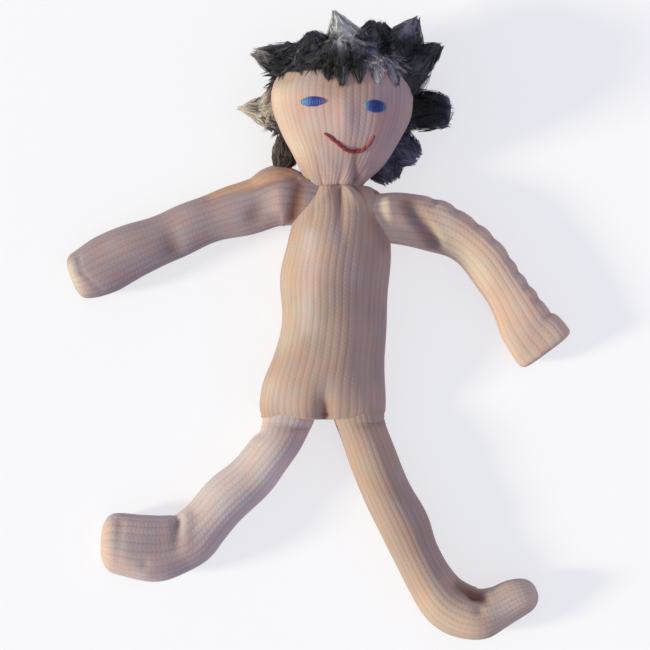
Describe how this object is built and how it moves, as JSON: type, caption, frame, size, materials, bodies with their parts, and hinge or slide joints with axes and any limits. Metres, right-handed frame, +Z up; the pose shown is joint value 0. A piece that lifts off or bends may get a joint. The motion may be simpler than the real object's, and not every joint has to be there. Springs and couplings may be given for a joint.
{
  "type": "cloth doll",
  "caption": "Small stuffed cloth doll of ribbed knit with an embroidered face and a tufted fur wig, lying on its back with its limbs spread.",
  "frame": {"origin": "centre of the base of the doll's bounding box, on the surface it lies on", "axes": "+X towards the doll's left hand, +Y towards the crown of the head, +Z up out of the chest; the doll lies on its back on z = 0"},
  "size_m": [0.1768, 0.2188, 0.0414],
  "materials": {
    "knit": "matte ribbed cotton knit, flesh coloured",
    "fur": "mottled charcoal, grey and cream fur",
    "eye_thread": "blue stranded cotton, slightly glossy satin stitch",
    "mouth_thread": "dark red stranded cotton, stem stitch"
  },
  "bodies": {
    "root": {"head": "knit", "hair": "fur", "eye_right": "eye_thread", "eye_left": "eye_thread", "mouth": "mouth_thread", "torso": "knit", "arm_right": "knit", "arm_left": "knit", "leg_right": "knit", "leg_left": "knit"}
  },
  "joints": []
}
